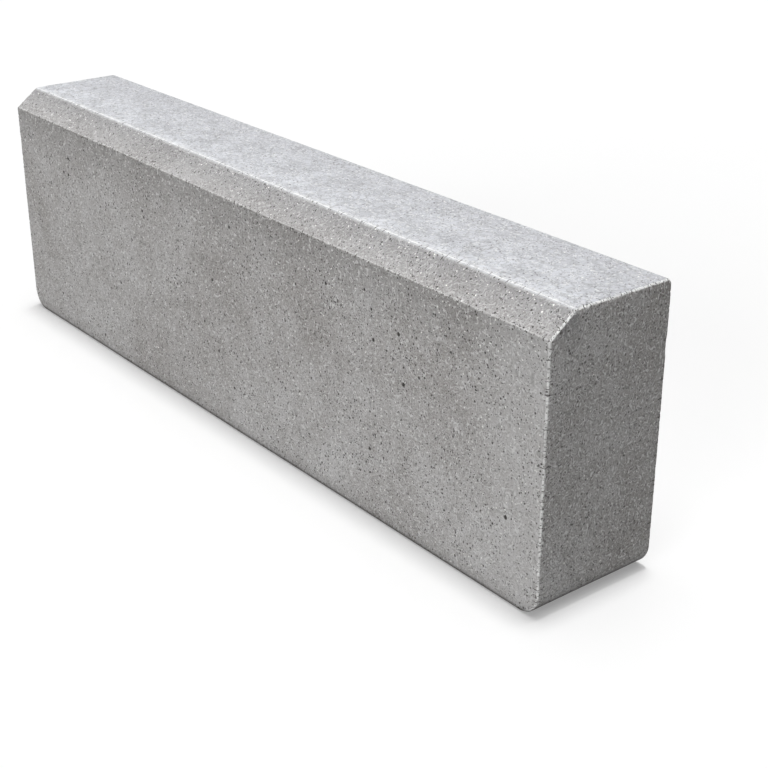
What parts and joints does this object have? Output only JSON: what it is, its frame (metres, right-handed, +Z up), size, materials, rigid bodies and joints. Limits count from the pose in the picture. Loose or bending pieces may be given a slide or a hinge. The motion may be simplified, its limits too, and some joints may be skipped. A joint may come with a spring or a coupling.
{
  "type": "concrete kerb stone",
  "caption": "Straight precast concrete kerb stone with a splayed road edge, softened arrises and rounded heels, laid end to end along a road.",
  "frame": {"origin": "centre of the footprint, on the bed that the stone is laid on", "axes": "+X along the road, -Y towards the road (the splayed side), +Y towards the footway, +Z up"},
  "size_m": [1, 0.15, 0.3],
  "materials": {
    "concrete": "vibro-pressed grey concrete, matt, with fine pores and sand grain"
  },
  "bodies": {
    "root": {"kerb_stone": "concrete"}
  },
  "joints": []
}
